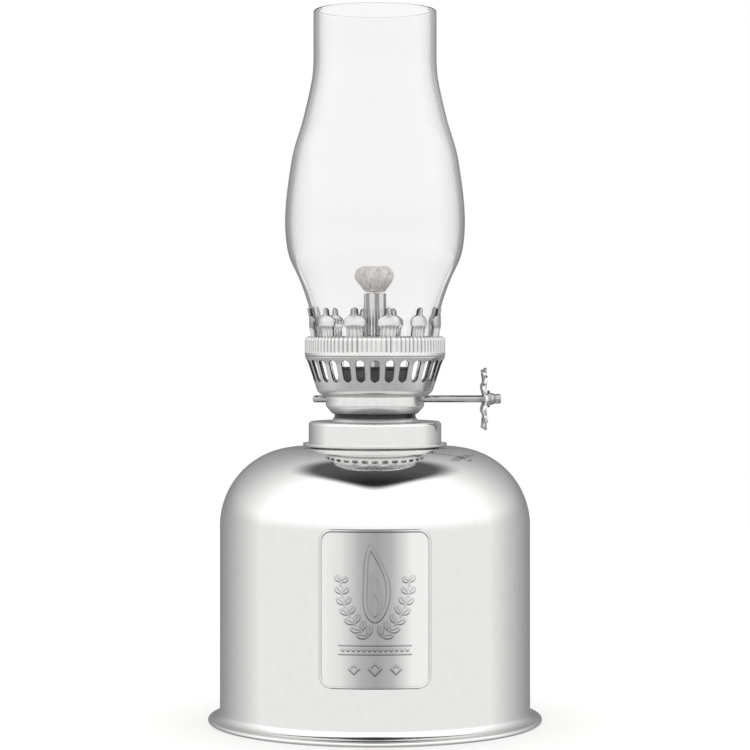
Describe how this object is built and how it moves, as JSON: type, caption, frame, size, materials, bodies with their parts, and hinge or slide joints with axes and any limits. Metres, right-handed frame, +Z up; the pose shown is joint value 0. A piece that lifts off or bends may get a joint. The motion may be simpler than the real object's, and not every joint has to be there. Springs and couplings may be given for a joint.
{
  "type": "oil lamp",
  "caption": "Table oil lamp with a domed metal reservoir, a screw-on round-wick burner with a winder, and a lift-out glass chimney.",
  "frame": {"origin": "centre of the foot on the surface that the lamp stands on", "axes": "+Z up along the lamp's axis, +X towards the winder knob, -Y towards the plaque"},
  "size_m": [0.111, 0.111, 0.2366],
  "materials": {
    "plated_sheet": "bright nickel plate on spun and pressed brass sheet",
    "satin_plaque": "satin pressed plate",
    "steel_wire": "drawn steel",
    "gasket_rubber": "matt rubber",
    "cotton_wick": "loose cotton yarn",
    "clear_glass": "clear blown glass"
  },
  "bodies": {
    "reservoir": {"reservoir_shell": "plated_sheet", "base_pan": "plated_sheet", "neck_collar": "plated_sheet", "front_plaque": "satin_plaque"},
    "gasket": {"cap_gasket": "gasket_rubber"},
    "burner": {"screw_cap": "plated_sheet", "burner_foot": "plated_sheet", "winder_housing": "plated_sheet", "shaft_bushes": "plated_sheet", "air_basket": "plated_sheet", "draught_cover": "plated_sheet", "chimney_seat": "plated_sheet", "gallery_crown": "plated_sheet", "wick_tube": "plated_sheet", "tube_collar": "plated_sheet", "vent_tube": "plated_sheet"},
    "winder": {"winder_shaft": "steel_wire", "spur_wheels": "steel_wire", "shaft_collars": "steel_wire", "winder_knob": "plated_sheet", "knob_hub": "plated_sheet", "knob_rivet": "plated_sheet"},
    "wick": {"wick_cord": "cotton_wick", "wick_tuft": "cotton_wick"},
    "glass": {"chimney": "clear_glass"}
  },
  "joints": [
    {"name": "cap_lift", "type": "slide", "parent": "reservoir", "child": "gasket", "axis": [0, 0, 1], "range_m": [0, 0.00626]},
    {"name": "cap_turn", "type": "hinge", "parent": "gasket", "child": "burner", "pos_m": [0, 0, 0.095], "axis": [0, 0, 1], "range_deg": [0, 900]},
    {"name": "winder_turn", "type": "hinge", "parent": "burner", "child": "winder", "pos_m": [0, 0.0067, 0.10685], "axis": [-1, 0, 0], "range_deg": [0, 125.5]},
    {"name": "wick_lift", "type": "slide", "parent": "burner", "child": "wick", "axis": [0, 0, 1], "range_m": [0, 0.008]},
    {"name": "chimney_lift", "type": "slide", "parent": "burner", "child": "glass", "axis": [0, 0, 1], "range_m": [0, 0.045]}
  ],
  "couplings": [
    {"joint": "cap_lift", "follows": "cap_turn", "m_per_rad": 0.00039789},
    {"joint": "wick_lift", "follows": "winder_turn", "m_per_rad": 0.00365}
  ]
}
